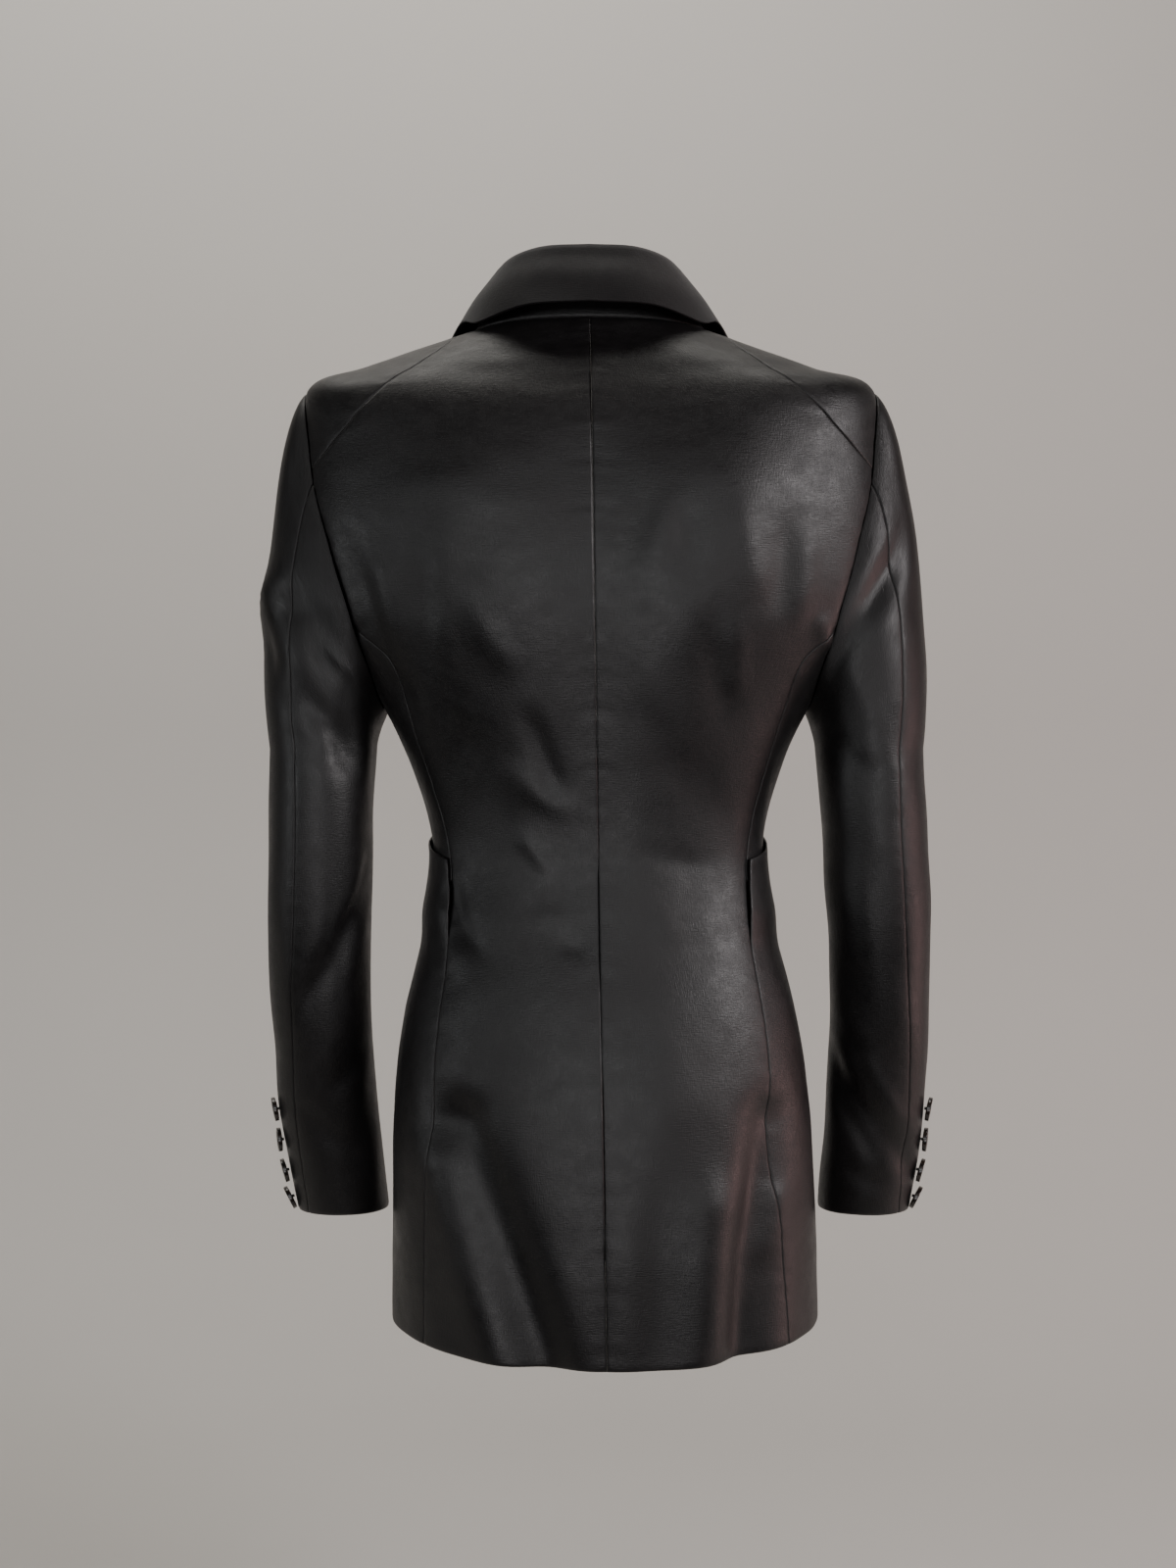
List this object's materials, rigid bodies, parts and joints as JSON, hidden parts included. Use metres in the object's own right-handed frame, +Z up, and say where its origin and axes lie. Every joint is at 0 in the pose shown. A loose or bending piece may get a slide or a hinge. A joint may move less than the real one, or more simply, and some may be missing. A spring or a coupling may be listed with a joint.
{
  "type": "blazer",
  "caption": "Fitted long single-breasted blazer with notched lapels, folded collar, seamed waist and buttoned cuffs, in its worn hollow form.",
  "frame": {"origin": "between the two neck points of the shoulders, where the wearer or a form holds the jacket up", "axes": "+Z up, the front faces -Y, the wearer's left is +X"},
  "size_m": [0.4925, 0.2474, 0.7761],
  "materials": {
    "satin": "black satin-faced cloth, soft broad sheen",
    "lapel_satin": "black satin-faced cloth, pressed",
    "collar_satin": "black satin-faced cloth, matte under-collar",
    "horn": "dark polished button"
  },
  "bodies": {
    "root": {"back_left": "satin", "side_left": "satin", "hip_left": "satin", "front_left": "satin", "top_sleeve_left": "satin", "under_sleeve_left": "satin", "back_right": "satin", "side_right": "satin", "hip_right": "satin", "front_right": "satin", "top_sleeve_right": "satin", "under_sleeve_right": "satin", "lapel_left": "lapel_satin", "lapel_right": "lapel_satin", "collar": "collar_satin", "cuff_button_left_1": "horn", "cuff_button_left_2": "horn", "cuff_button_left_3": "horn", "cuff_button_left_4": "horn", "cuff_button_right_1": "horn", "cuff_button_right_2": "horn", "cuff_button_right_3": "horn", "cuff_button_right_4": "horn", "front_button": "horn"}
  },
  "joints": []
}
